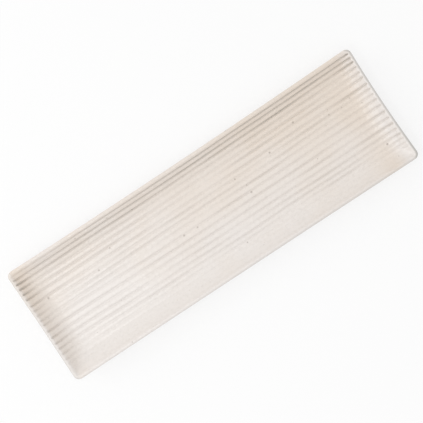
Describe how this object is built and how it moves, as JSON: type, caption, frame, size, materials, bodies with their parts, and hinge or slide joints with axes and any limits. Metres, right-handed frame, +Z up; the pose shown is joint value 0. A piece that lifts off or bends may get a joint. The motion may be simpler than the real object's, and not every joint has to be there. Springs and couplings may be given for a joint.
{
  "type": "serving plate",
  "caption": "Long rectangular stoneware serving plate with turned-up walls, a rounded rim, fine lengthwise ribs, a speckled off-white glaze and a bare clay foot ring.",
  "frame": {"origin": "on the table under the middle of the plate, at the bottom of the foot ring", "axes": "+X along the plate's length, +Y across it towards the back edge of the picture, +Z up"},
  "size_m": [0.3548, 0.1116, 0.0185],
  "materials": {
    "stoneware_clay": "bare fired stoneware, matt and slightly sandy",
    "speckled_glaze": "satin off-white glaze with fine iron specks"
  },
  "bodies": {
    "root": {"stoneware_body": "stoneware_clay", "foot_ring": "stoneware_clay", "glaze_coat": "speckled_glaze", "foot_well_glaze": "speckled_glaze"}
  },
  "joints": []
}
